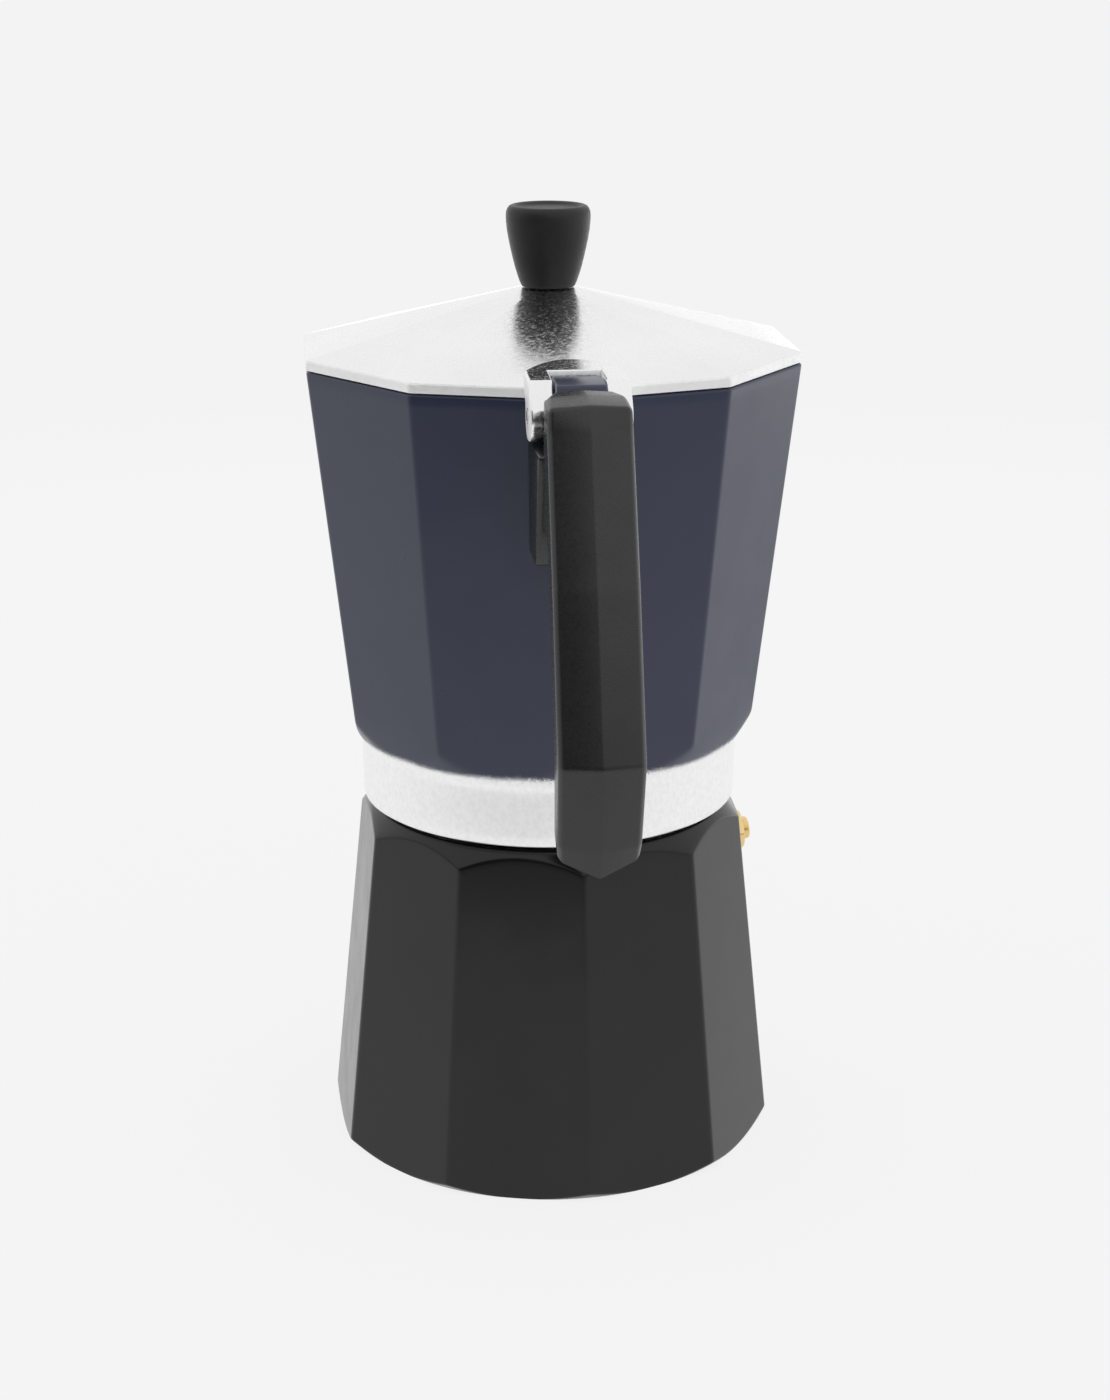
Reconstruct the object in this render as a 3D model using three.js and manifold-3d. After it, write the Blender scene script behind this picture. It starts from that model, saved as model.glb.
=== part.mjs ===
// Moka pot: a ten-sided stovetop coffee maker in three screwed and lifted stages, with a hinged lid.
// Millimetres, +Z up. The origin is the centre of the base, the handle points to -Y and the spout to +Y.
import * as THREE from "three";
import { mergeVertices } from "three/addons/utils/BufferGeometryUtils.js";
import { ConvexGeometry } from "three/addons/geometries/ConvexGeometry.js";
import Module from "manifold-3d";

const wasm = await Module();
wasm.setup();

// ---------------------------------------------------------------- driving dimensions
const SIDES = 10; // facets of both chambers and of the lid
const ROUND = 40; // segments of the turned surfaces
const GAP = 0.3; // between pieces that touch
const FACET_COS = Math.cos(Math.PI / SIDES);

// Boiler: facets lean inwards, a turned bevel at the base and a turned shoulder at the top.
const BOILER_TURN = 4.2; // degrees: where its corners stop when the thread is tight
const BOILER_FOOT_R = 61.1;
const BOILER_SLOPE = -0.106; // change of corner radius for each mm of height
const BASE_R = 58;
const SHOULDER_CORNER_Z = 87.75;
const SHOULDER_SLOPE = -0.8235;
const LEDGE_Z = 92;
const NECK_R = 42.6;
const NECK_TOP_Z = 103.5;
const NECK_BORE_R = 39.5;
const BOILER_WALL = 3.2;
const BOILER_FLOOR = 4;

// Thread between boiler and collector.
const PITCH = 3.2;
const THREAD_TURNS = 1.9;
const THREAD_START = 0.035; // radians: keeps its corners off the turned surfaces' own corners
const NECK_CREST_R = 44.2;
const SKIRT_CREST_R = 44.6;
const SKIRT_BORE_R = 46.1;

// Safety valve, on an axis square to one facet.
const VALVE_TURN = 94.2; // degrees round from the handle
const VALVE_Z = 78;
const VALVE_SHANK_R = 3.3;
const VALVE_BORE_R = 2.2;

// Funnel with its coffee basket.
const FLANGE_R = 42;
const FLANGE_Z = NECK_TOP_Z + GAP;
const BASKET_R = 38.6;
const SHEET = 0.8;
const BASKET_FLOOR_Z = 71;
const TUBE_R = 5;
const TUBE_FOOT_Z = 10;

// Seal above the funnel.
const GASKET_Z = FLANGE_Z + 1 + GAP;
const GASKET_H = 3.5;
const GASKET_R = 42.1;
const GASKET_BORE_R = 35.5;
const PLATE_Z = GASKET_Z + GASKET_H + GAP;
const PLATE_R = 38.5;

// Collector: a round skirt below, leaning facets above.
const SKIRT_Z = 94.5;
const SKIRT_R = 49.8;
const BOWL_Z = 111; // where the turned underside leaves the skirt
const FACET_Z = 118.5; // where its corners reach the facets
const FACET_R = 54.9;
const RIM_Z = 211.7;
const RIM_R = 65.6;
const WALL = 3.1;
const SEAT_TOP_Z = PLATE_Z + 1.8;
const BOWL_FLOOR_Z = 115;
const SPOUT_TIP_R = 80;
const SPOUT_FOOT_Z = 166;

// Column in the collector.
const COLUMN_TOP_Z = 186;

// Lid.
const LID_Z = 212;
const LID_R = 65.7;
const LID_EDGE = 2.3;
const LID_TOP_Z = 229;
const LID_SHEET = 2.1;
const LID_CROWN_R = 7.2;

// Hinge: distances from the axis are negative Y.
const HINGE_R = 70.5;
const HINGE_Z = 209.5;
const PIN_R = 1.6;
const PIN_HOLE_R = 1.9;
const EAR_R = 6;
const BOSS_HALF = 12;
const BOSS_BACK = 47.9; // where its flat top leaves the lid's ridge
const BOSS_BACK_CURVE = 0.09;
const bossTop = (u) => 218.76 - 0.045 * (u - BOSS_BACK);
const SLOT_HALF = 6.3;
const SLOT_BACK = 60.2;
const TONGUE_HALF = 5.9;

// Handle.
const HANDLE_PIN_R = 86;
const HANDLE_PIN_Z = 208.7;
const HEAD_HALF = 9.2;
const SADDLE_HALF = 11;

// Knob and its screw.
const KNOB_Z = LID_TOP_Z + GAP;
const SCREW_R = 1.7;

// ---------------------------------------------------------------- shapes and booleans
const rad = THREE.MathUtils.degToRad;

function solid(geometry, matrix = null) {
  const bare = geometry.index ? geometry.toNonIndexed() : geometry.clone();
  for (const key of Object.keys(bare.attributes)) if (key !== "position") bare.deleteAttribute(key);
  if (matrix) bare.applyMatrix4(matrix);
  const merged = mergeVertices(bare, 1e-4);
  return new wasm.Manifold(
    new wasm.Mesh({
      numProp: 3,
      vertProperties: merged.attributes.position.array,
      triVerts: new Uint32Array(merged.index.array),
    }),
  );
}

function geometryOf(body) {
  const mesh = body.getMesh();
  const geometry = new THREE.BufferGeometry();
  geometry.setAttribute("position", new THREE.BufferAttribute(mesh.vertProperties, 3));
  geometry.setIndex(new THREE.BufferAttribute(mesh.triVerts, 1));
  geometry.computeVertexNormals();
  return geometry;
}

const joined = (...bodies) => bodies.reduce((sum, body) => sum.add(body));

// A turned or ten-sided solid about +Z from [radius, z] points that run up the outside.
// With ten sides, a corner lies towards the handle, plus the turn in degrees.
function turned(points, sides = ROUND, turn = 0) {
  const profile = points.map(([r, z]) => new THREE.Vector2(r, z));
  const lathe = new THREE.LatheGeometry(profile, sides);
  return solid(lathe, new THREE.Matrix4().makeRotationX(Math.PI / 2).premultiply(
    new THREE.Matrix4().makeRotationZ(rad(turn))));
}

// A closed profile with its axis ends added.
const capped = (points) => [[0, points[0][1]], ...points, [0, points[points.length - 1][1]]];

const cylinder = (r, low, high, sides = ROUND) => turned(capped([[r, low], [r, high]]), sides);

// A ring with a rectangular section.
const ring = (inner, outer, low, high, sides = ROUND) =>
  turned([[inner, low], [outer, low], [outer, high], [inner, high], [inner, low]], sides);

// A side outline, as [distance towards the handle, z] points, thickened to x = +-half.
function slab(points, half) {
  const shape = new THREE.Shape(points.map(([u, z]) => new THREE.Vector2(u, z)));
  const plate = new THREE.ExtrudeGeometry(shape, { depth: 2 * half, bevelEnabled: false });
  const place = new THREE.Matrix4().set(0, 0, -1, half, -1, 0, 0, 0, 0, 1, 0, 0, 0, 0, 0, 1);
  return solid(plate, place);
}

// A cylinder along X through [distance towards the handle, z].
function crossPin(u, z, r, half, sides = 20) {
  const place = new THREE.Matrix4().makeTranslation(0, -u, z);
  return solid(new THREE.CylinderGeometry(r, r, 2 * half, sides),
    place.multiply(new THREE.Matrix4().makeRotationZ(Math.PI / 2)));
}

function block(x, y, z, dx, dy, dz) {
  return solid(new THREE.BoxGeometry(dx, dy, dz), new THREE.Matrix4().makeTranslation(x, y, z));
}

// Points of an arc in a side outline, about [u, z], from one angle to another in degrees.
function arc(u, z, r, from, to, steps) {
  return Array.from({ length: steps + 1 }, (_, i) => {
    const a = rad(from + ((to - from) * i) / steps);
    return [u + r * Math.cos(a), z + r * Math.sin(a)];
  });
}

// Rings of equal point count joined into one closed skin.
function loft(rings) {
  const count = rings[0].length;
  const positions = rings.flat().flat();
  const faces = [];
  for (let i = 0; i + 1 < rings.length; i++)
    for (let j = 0; j < count; j++) {
      const a = i * count + j;
      const b = i * count + ((j + 1) % count);
      faces.push(a, b, b + count, a, b + count, a + count);
    }
  for (let j = 1; j + 1 < count; j++) {
    const last = (rings.length - 1) * count;
    faces.push(0, j + 1, j, last, last + j, last + j + 1);
  }
  const geometry = new THREE.BufferGeometry();
  geometry.setAttribute("position", new THREE.Float32BufferAttribute(positions, 3));
  geometry.setIndex(faces);
  return solid(geometry);
}

// A helical ridge that fades into its wall at both ends; it stands out from root to crest.
function threadRidge(root, crest, startZ) {
  const steps = Math.round(THREAD_TURNS * 16);
  const sunk = Math.sign(root - crest);
  const rings = Array.from({ length: steps + 1 }, (_, i) => {
    const turns = (i / steps) * THREAD_TURNS;
    const angle = 2 * Math.PI * turns + THREAD_START;
    const z = startZ + PITCH * turns;
    const height = Math.min(1, i / 2 - 0.4, (steps - i) / 2 - 0.4);
    const tip = root + (crest - root) * height;
    const at = (r, dz) => [r * Math.cos(angle), r * Math.sin(angle), z + dz];
    const base = root + sunk;
    const section = [at(base, -1.2), at(base, 1.2), at(tip, 0.45), at(tip, -0.45)];
    return crest > root ? section : section.reverse();
  });
  return loft(rings);
}

// Holes on rings about +Z: [ring radius, count] pairs.
function holes(rings, r, low, high) {
  const cuts = rings.flatMap(([ringR, count]) =>
    Array.from({ length: count }, (_, i) => {
      const a = ((i + 0.5) / count) * 2 * Math.PI;
      const place = new THREE.Matrix4()
        .makeTranslation(ringR * Math.cos(a), ringR * Math.sin(a), (low + high) / 2)
        .multiply(new THREE.Matrix4().makeRotationX(Math.PI / 2));
      return solid(new THREE.CylinderGeometry(r, r, high - low, 6), place);
    }));
  return joined(...cuts);
}

// ---------------------------------------------------------------- boiler
const boilerCorner = (z) => BOILER_FOOT_R + BOILER_SLOPE * z;

function boiler() {
  const shoulder = (z) => boilerCorner(SHOULDER_CORNER_Z) + SHOULDER_SLOPE * (z - SHOULDER_CORNER_Z);
  const facets = turned(
    capped([[boilerCorner(0), 0], [boilerCorner(LEDGE_Z), LEDGE_Z]]), SIDES, BOILER_TURN);
  const lathe = turned(capped([
    [BASE_R, 0], [BASE_R + 3.2, 2.9], [BASE_R + 6, 12], [BASE_R + 6, 70],
    [shoulder(84), 84], [shoulder(LEDGE_Z), LEDGE_Z],
  ]));
  const neck = cylinder(NECK_R, LEDGE_Z - 1, NECK_TOP_Z);
  const thread = threadRidge(NECK_R, NECK_CREST_R, 94.6);
  const cavity = turned(capped([
    [BASE_R - 8, BOILER_FLOOR], [BASE_R - 4.2, BOILER_FLOOR + 4],
    [boilerCorner(84) * FACET_COS - BOILER_WALL, 84],
    [NECK_BORE_R, 91], [NECK_BORE_R, NECK_TOP_Z + 1],
  ]));
  const groove = ring(44, 47, -1, 0.5);
  return joined(facets.intersect(lathe), neck, thread)
    .subtract(cavity).subtract(groove).subtract(onValveAxis(cylinder(VALVE_SHANK_R + GAP, -9, 6, 24)));
}

// ---------------------------------------------------------------- safety valve
const VALVE_FACE_R = boilerCorner(VALVE_Z) * FACET_COS;
const VALVE_TILT = Math.atan(-BOILER_SLOPE * FACET_COS);

// Places a solid made along +Z from z = 0 so that it stands out of the valve's facet.
function onValveAxis(body) {
  const turn = rad(VALVE_TURN);
  const place = new THREE.Matrix4()
    .makeTranslation(VALVE_FACE_R * Math.sin(turn), -VALVE_FACE_R * Math.cos(turn), VALVE_Z)
    .multiply(new THREE.Matrix4().makeRotationZ(turn - Math.PI / 2))
    .multiply(new THREE.Matrix4().makeRotationY(Math.PI / 2 - VALVE_TILT));
  return solid(geometryOf(body), place);
}

const FLANGE_FACE = 3.6; // outer face of the hexagon
const NUB_FACE = 5.6;
const SHANK_END = -8;

function valveBody() {
  const hexagon = turned(capped([[5.2, 1.3], [5.6, 1.7], [5.6, 3.2], [5, FLANGE_FACE]]), 6);
  const shank = cylinder(VALVE_SHANK_R, SHANK_END, 2, 24);
  const nub = turned(capped([[3.1, 3], [3.1, 4.9], [2.8, NUB_FACE]]), 24);
  const bore = cylinder(VALVE_BORE_R, SHANK_END + 1.5, 8, 24);
  const seat = cylinder(1.2, SHANK_END - 1, 0, 16);
  return onValveAxis(joined(hexagon, shank, nub).subtract(bore).subtract(seat));
}

const valveWasher = () => onValveAxis(ring(VALVE_SHANK_R + GAP, 5.4, GAP, 1, 24));

const valveRetainer = () => onValveAxis(ring(1.1, VALVE_BORE_R - 0.2, 4.1, 5.3, 20));

function valvePin() {
  const low = SHANK_END + 1.5 + GAP;
  return onValveAxis(turned(capped([
    [1.9, low], [1.9, low + 1], [0.8, low + 1], [0.8, 6.4], [0.5, 6.8],
  ]), 16));
}

class Helix extends THREE.Curve {
  constructor(r, low, high, turns) {
    super();
    Object.assign(this, { r, low, high, turns });
  }
  getPoint(t) {
    const a = t * this.turns * 2 * Math.PI;
    const z = this.low + t * (this.high - this.low);
    return new THREE.Vector3(this.r * Math.cos(a), this.r * Math.sin(a), z);
  }
}

function valveSpring() {
  const wire = new THREE.Shape();
  wire.absarc(0, 0, 0.25, 0, 2 * Math.PI);
  const path = new Helix(1.45, SHANK_END + 3.4, 3.5, 5);
  const coil = new THREE.ExtrudeGeometry(wire, { steps: 50, curveSegments: 3, extrudePath: path });
  return onValveAxis(solid(coil));
}

// ---------------------------------------------------------------- funnel
function funnelBasket() {
  const inner = BASKET_R - SHEET;
  const neck = TUBE_R + GAP;
  return turned([
    [FLANGE_R, FLANGE_Z], [FLANGE_R, FLANGE_Z + 1], [inner, FLANGE_Z + 1],
    [inner, BASKET_FLOOR_Z + 1], [inner - 2, BASKET_FLOOR_Z + 1], [neck + 1, 61],
    [neck, 60], [neck, 52], [neck + SHEET, 52], [neck + SHEET, 60], [neck + 2, 60.6],
    [BASKET_R - 1.2, BASKET_FLOOR_Z], [BASKET_R, BASKET_FLOOR_Z + 1], [BASKET_R, FLANGE_Z],
    [FLANGE_R, FLANGE_Z],
  ]);
}

const funnelTube = () => ring(TUBE_R - SHEET, TUBE_R, TUBE_FOOT_Z, 61, 24);

function funnelScreen() {
  const low = BASKET_FLOOR_Z + 1 + GAP;
  const disc = cylinder(BASKET_R - SHEET - GAP, low, low + SHEET, 36);
  return disc.subtract(holes([[12, 6], [22, 12], [32, 16]], 1.2, low - 1, low + 2));
}

// ---------------------------------------------------------------- seal
const gasket = () => ring(GASKET_BORE_R, GASKET_R, GASKET_Z, GASKET_Z + GASKET_H, 36);

function filterPlate() {
  const disc = cylinder(PLATE_R, PLATE_Z, PLATE_Z + SHEET, 36);
  return disc.subtract(holes([[10, 6], [18, 10], [26, 14]], 1.2, PLATE_Z - 1, PLATE_Z + 2));
}

// ---------------------------------------------------------------- collector
const rimSlope = (RIM_R - FACET_R) / (RIM_Z - FACET_Z);
const collectorCorner = (z) => FACET_R + rimSlope * (z - FACET_Z);

// The spout's beak as a hull: a tip at the rim, two flanks on the facets and a foot on the corner.
function beak(inset) {
  const top = RIM_Z + (inset ? 1 : 0);
  const tip = SPOUT_TIP_R - 1.6 * inset;
  const flank = 24 - inset;
  const foot = SPOUT_FOOT_Z + 3 * inset;
  const footR = collectorCorner(SPOUT_FOOT_Z) - 0.6 - inset;
  const points = [[0, tip, top], [0, tip, top - 4], [0, footR, foot], [0, footR - 8, foot + 4]];
  for (const side of [-1, 1]) points.push([side * flank, 56, top], [side * 0.8 * flank, 50, top]);
  return solid(new ConvexGeometry(points.map((p) => new THREE.Vector3(...p))));
}

// Side outline of the hinge tongue with the lug that the handle holds.
const TONGUE = [
  [62.4, 203.6], [90.5, 203.6], [90.5, 213.6], [78.6, 213.6], [76.3, 216.8], [75.4, 217.4],
  [70.5, 217.7], [64.3, 217.5], [63, 216], [62.4, 211],
];

function collector() {
  const facets = turned(
    capped([[collectorCorner(BOWL_Z - 2), BOWL_Z - 2], [RIM_R, RIM_Z]]), SIDES);
  const bowl = turned(capped([
    [SKIRT_R, BOWL_Z - 3], [SKIRT_R, BOWL_Z], [SKIRT_R + 1.2, BOWL_Z + 2.2],
    [SKIRT_R + 3, BOWL_Z + 5], [FACET_R, FACET_Z], [RIM_R + 4, FACET_Z + 22], [RIM_R + 4, RIM_Z],
  ]));
  const skirt = turned(capped([
    [SKIRT_R - 0.6, SKIRT_Z], [SKIRT_R, SKIRT_Z + 0.6], [SKIRT_R + 0.2, BOWL_Z],
  ]));
  const outside = joined(facets.intersect(bowl), skirt, beak(0));
  const room = turned(
    capped([[collectorCorner(BOWL_FLOOR_Z) - WALL, BOWL_FLOOR_Z], [RIM_R + 0.2 - WALL, RIM_Z + 2]]), SIDES);
  const roomLathe = turned(capped([
    [42, BOWL_FLOOR_Z], [47.5, BOWL_FLOOR_Z + 3.5], [51, BOWL_FLOOR_Z + 10],
    [RIM_R + 4, FACET_Z + 30], [RIM_R + 4, RIM_Z + 2],
  ]));
  const underside = turned(capped([
    [SKIRT_BORE_R, SKIRT_Z - 1], [SKIRT_BORE_R, GASKET_Z - 0.6], [GASKET_R + GAP, GASKET_Z - 0.6],
    [GASKET_R + GAP, PLATE_Z], [PLATE_R + GAP, PLATE_Z], [PLATE_R + GAP, SEAT_TOP_Z - 0.4],
    [36, SEAT_TOP_Z], [12, SEAT_TOP_Z + 0.9],
  ]));
  return joined(outside.subtract(room.intersect(roomLathe)), slab(TONGUE, TONGUE_HALF))
    .subtract(beak(2.4))
    .subtract(underside)
    .add(threadRidge(SKIRT_BORE_R, SKIRT_CREST_R, 96.2))
    .subtract(cylinder(COLUMN_FOOT_R + GAP, BOWL_Z, BOWL_FLOOR_Z + 2, 40))
    .subtract(crossPin(HINGE_R, HINGE_Z, PIN_HOLE_R, 20))
    .subtract(crossPin(HANDLE_PIN_R, HANDLE_PIN_Z, PIN_HOLE_R, 20));
}

// ---------------------------------------------------------------- column
const COLUMN_FOOT_R = 8.4;

function column() {
  const wall = 1.6;
  const top = COLUMN_TOP_Z;
  const shell = turned([
    [COLUMN_FOOT_R - wall, SEAT_TOP_Z - 0.2], [11, SEAT_TOP_Z - 0.2], [11, SEAT_TOP_Z + 0.6],
    [COLUMN_FOOT_R, SEAT_TOP_Z + 0.6], [COLUMN_FOOT_R, BOWL_FLOOR_Z + 4], [6, top - 8],
    [5.4, top - 2], [3.6, top], [0, top + 0.6], [0, top - 1.2], [3.2, top - 2.2], [6 - wall, top - 8],
    [COLUMN_FOOT_R - wall, BOWL_FLOOR_Z + 4], [COLUMN_FOOT_R - wall, SEAT_TOP_Z - 0.2],
  ], 24);
  const outlet = block(0, 0, top - 7.5, 30, 4.4, 7);
  return shell.subtract(outlet);
}

// ---------------------------------------------------------------- handle
// Stations down the back of the handle: the ridge's place, the way into the section, its depth, half
// width of the facets, chamfer, and how far the sides draw back from the ridge.
const STATIONS = [
  { u: 81, z: 217.2, into: [0, -1], deep: 11, half: 6.6, chamfer: 0.8, rise: 0.4, sweep: 0 },
  { u: 85, z: 217.1, into: [-0.1, -1], deep: 13, half: 8.6, chamfer: 0.9, rise: 0.5, sweep: 0 },
  { u: 93.6, z: 216.1, into: [-0.65, -1], deep: 17, half: 8.7, chamfer: 0.9, rise: 0.7, sweep: 0 },
  { u: 96.3, z: 211.2, into: [-1, -0.5], deep: 15, half: 8.8, chamfer: 1, rise: 2, sweep: 0 },
  { u: 109.6, z: 177.6, into: [-1, -0.4], deep: 13, half: 8.9, chamfer: 1, rise: 2, sweep: 0 },
  { u: 122.2, z: 140, into: [-1, -0.1], deep: 13.5, half: 9, chamfer: 1, rise: 2, sweep: 0 },
  { u: 117.6, z: 119, into: [-1, 0.22], deep: 12, half: 8.7, chamfer: 1, rise: 2, sweep: 0 },
  { u: 115.6, z: 111.6, into: [-1, 0.45], deep: 9, half: 8.5, chamfer: 1, rise: 1.8, sweep: 3.6 },
];

function stationRing({ u, z, into, deep, half, chamfer, rise, sweep }) {
  const length = Math.hypot(...into);
  const at = (x, depth, lift) =>
    [x, -(u + (into[0] / length) * depth), z + (into[1] / length) * depth + lift];
  const wide = half + chamfer;
  const side = (s) => [
    at(s * half, rise, 0.8 * sweep), at(s * wide, rise + 1.3 * chamfer, sweep),
    at(s * wide, deep - 2, sweep), at(s * (wide - 2), deep, sweep),
  ];
  return [at(0, 0, 0), ...side(-1), at(0, deep, sweep), ...side(1).reverse()];
}

function handle() {
  const grip = loft(STATIONS.map(stationRing));
  const head = slab([
    [79.9, 190], [79.9, 215.5], [92, 214.6], [96, 206], [101, 190], [97, 178], [88, 188],
  ], HEAD_HALF);
  const saddle = slab([
    [58, 174], [72.5, 174], [77, 181.5], [84, 190], [84, 202.6], [58, 202.6],
  ], SADDLE_HALF);
  const bridge = slab([[66, 182], [76, 182], [90, 184], [90, 203.2], [66, 202.6]], HEAD_HALF);
  const wallClearance = turned(capped([
    [collectorCorner(160) + 0.4, 160], [collectorCorner(210) + 0.4, 210],
  ]), SIDES);
  const pocket = slab([[60, 203.2], [91, 203.2], [91, 214.1], [60, 214.1]], TONGUE_HALF + GAP);
  return joined(grip, head, saddle, bridge)
    .subtract(wallClearance).subtract(pocket)
    .subtract(crossPin(HANDLE_PIN_R, HANDLE_PIN_Z, PIN_HOLE_R, 20));
}

// ---------------------------------------------------------------- lid and knob
function lid() {
  const underR = LID_R - 4.4;
  const plate = turned(capped([[LID_R, LID_Z], [LID_R, LID_Z + LID_EDGE], [LID_CROWN_R, LID_TOP_Z]]), SIDES);
  const under = turned(capped([[underR, LID_Z - 1], [underR, LID_Z + 0.6],
    [LID_CROWN_R + 2, LID_TOP_Z - LID_SHEET]]), SIDES);
  const boss = slab([
    [58, LID_Z], [58, 214.4], [46, 217.4], [46, bossTop(46)], [70.6, bossTop(70.6)],
    ...arc(HINGE_R, HINGE_Z, EAR_R, 30, -190, 14), [HINGE_R - EAR_R, LID_Z],
  ], BOSS_HALF);
  const outline = Array.from({ length: 17 }, (_, i) => {
    const x = (BOSS_HALF * (i - 8)) / 8;
    return new THREE.Vector2(x, -(BOSS_BACK + BOSS_BACK_CURVE * x * x));
  });
  outline.push(new THREE.Vector2(BOSS_HALF, -90), new THREE.Vector2(-BOSS_HALF, -90));
  const plan = solid(new THREE.ExtrudeGeometry(new THREE.Shape(outline), { depth: 30, bevelEnabled: false }),
    new THREE.Matrix4().makeTranslation(0, 0, 195));
  const slot = block(0, -(SLOT_BACK + 10), 210, 2 * SLOT_HALF, 20, 24);
  return plate.subtract(under).add(boss.intersect(plan)).subtract(slot)
    .subtract(crossPin(HINGE_R, HINGE_Z, PIN_HOLE_R, 20))
    .subtract(cylinder(SCREW_R + 0.5, LID_TOP_Z - 8, LID_TOP_Z + 2, 20));
}

function knob() {
  const body = turned(capped([
    [6.7, KNOB_Z], [7, KNOB_Z + 0.5], [8, KNOB_Z + 3.2], [9.1, KNOB_Z + 7.2], [10.2, KNOB_Z + 12],
    [10.8, KNOB_Z + 16], [10.7, KNOB_Z + 19], [9.9, KNOB_Z + 20.4], [8.4, KNOB_Z + 20.5],
    [7.4, KNOB_Z + 19.8], [4, KNOB_Z + 19.4],
  ]), 28);
  return body.subtract(cylinder(3.5, KNOB_Z - 1, KNOB_Z + 11, 16));
}

const WASHER_TOP_Z = LID_TOP_Z - LID_SHEET - GAP;
const WASHER_Z = WASHER_TOP_Z - 0.8;

const knobInsert = () => ring(SCREW_R + GAP, 3.2, KNOB_Z + 0.4, KNOB_Z + 10, 20);
const knobWasher = () => ring(SCREW_R + 0.5, 5, WASHER_Z, WASHER_TOP_Z, 24);

function knobScrew() {
  const head = WASHER_Z - GAP;
  const shape = turned(capped([[2.6, head - 2.4], [3.6, head - 1.4], [3.6, head],
    [SCREW_R, head], [SCREW_R, KNOB_Z + 9]]), 20);
  return shape.subtract(block(0, 0, head - 2.2, 8, 0.9, 1.6));
}

// ---------------------------------------------------------------- the pot
const FINISH = {
  black: { color: 0x262626, roughness: 0.42, metalness: 0.35 },
  navy: { color: 0x363b49, roughness: 0.36, metalness: 0.2 },
  aluminium: { color: 0xd8d9da, roughness: 0.28, metalness: 0.95 },
  steel: { color: 0xa8aaac, roughness: 0.3, metalness: 0.95 },
  brass: { color: 0xc79a4a, roughness: 0.28, metalness: 0.95 },
  plastic: { color: 0x242424, roughness: 0.55, metalness: 0 },
  rubber: { color: 0xcfc9bd, roughness: 0.75, metalness: 0 },
};

function piece(name, body, finish) {
  const mesh = new THREE.Mesh(geometryOf(body), new THREE.MeshStandardMaterial(FINISH[finish]));
  mesh.name = name;
  return mesh;
}

function group(...children) {
  return new THREE.Group().add(...children);
}

const lidStage = group(
  piece("lid", lid(), "aluminium"),
  piece("knob", knob(), "plastic"),
  piece("knob_insert", knobInsert(), "brass"),
  piece("knob_washer", knobWasher(), "steel"),
  piece("knob_screw", knobScrew(), "steel"),
);

const collectorStage = group(
  piece("collector", collector(), "navy"),
  piece("column", column(), "aluminium"),
  piece("handle", handle(), "plastic"),
  piece("handle_pin", crossPin(HANDLE_PIN_R, HANDLE_PIN_Z, PIN_R, 9), "steel"),
  piece("hinge_pin", crossPin(HINGE_R, HINGE_Z, PIN_R, BOSS_HALF + 0.3), "steel"),
  lidStage,
);

const sealStage = group(
  piece("gasket", gasket(), "rubber"),
  piece("filter_plate", filterPlate(), "aluminium"),
);

const funnelStage = group(
  piece("funnel_basket", funnelBasket(), "aluminium"),
  piece("funnel_tube", funnelTube(), "aluminium"),
  piece("funnel_screen", funnelScreen(), "aluminium"),
);

const boilerStage = group(
  piece("boiler", boiler(), "black"),
  piece("valve_body", valveBody(), "brass"),
  piece("valve_washer", valveWasher(), "rubber"),
  piece("valve_retainer", valveRetainer(), "brass"),
  piece("valve_pin", valvePin(), "brass"),
  piece("valve_spring", valveSpring(), "steel"),
);

export default group(boilerStage, funnelStage, sealStage, collectorStage);
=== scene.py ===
"""A ten-sided stovetop moka pot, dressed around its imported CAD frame.

Every visible shell is rebuilt here as a fine mesh on the CAD's own dimensions. Lengths in the tables
are millimetres, in the CAD's frame: +Z up, the handle towards -Y, the spout towards +Y.
"""
import math

import bmesh
import bpy
import numpy as np
from mathutils import Matrix, Vector


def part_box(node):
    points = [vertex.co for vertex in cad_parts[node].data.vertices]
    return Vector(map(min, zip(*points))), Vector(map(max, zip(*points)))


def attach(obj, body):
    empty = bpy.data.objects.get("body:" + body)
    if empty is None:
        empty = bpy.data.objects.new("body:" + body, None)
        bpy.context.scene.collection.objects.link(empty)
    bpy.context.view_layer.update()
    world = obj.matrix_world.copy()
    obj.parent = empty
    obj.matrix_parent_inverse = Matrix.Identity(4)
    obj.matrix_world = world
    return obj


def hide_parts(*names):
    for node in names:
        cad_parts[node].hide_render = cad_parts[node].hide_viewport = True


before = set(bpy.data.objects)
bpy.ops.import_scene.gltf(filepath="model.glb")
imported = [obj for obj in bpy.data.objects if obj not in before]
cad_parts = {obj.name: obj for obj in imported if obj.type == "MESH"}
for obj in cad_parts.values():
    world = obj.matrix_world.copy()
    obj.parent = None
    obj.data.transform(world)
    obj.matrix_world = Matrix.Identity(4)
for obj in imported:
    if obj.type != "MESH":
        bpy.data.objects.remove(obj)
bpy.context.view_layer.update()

MM = 0.001
TAU = 2 * math.pi
SIDES = 10
HALF_FACET = math.pi / SIDES


# ------------------------------------------------------------------ places read from the frame
def low(node):
    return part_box(node)[0] / MM


def high(node):
    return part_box(node)[1] / MM


BASE_Z = low("boiler").z
NECK_TOP = high("boiler").z
SKIRT_FOOT = low("collector").z
LID_FOOT = 212.0
LID_CROWN = high("lid").z
KNOB_FOOT = low("knob").z
HINGE_U = -(low("hinge_pin").y + high("hinge_pin").y) / 2
HINGE_Z = (low("hinge_pin").z + high("hinge_pin").z) / 2
HANDLE_PIN_U = -(low("handle_pin").y + high("handle_pin").y) / 2
HANDLE_PIN_Z = (low("handle_pin").z + high("handle_pin").z) / 2


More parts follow.
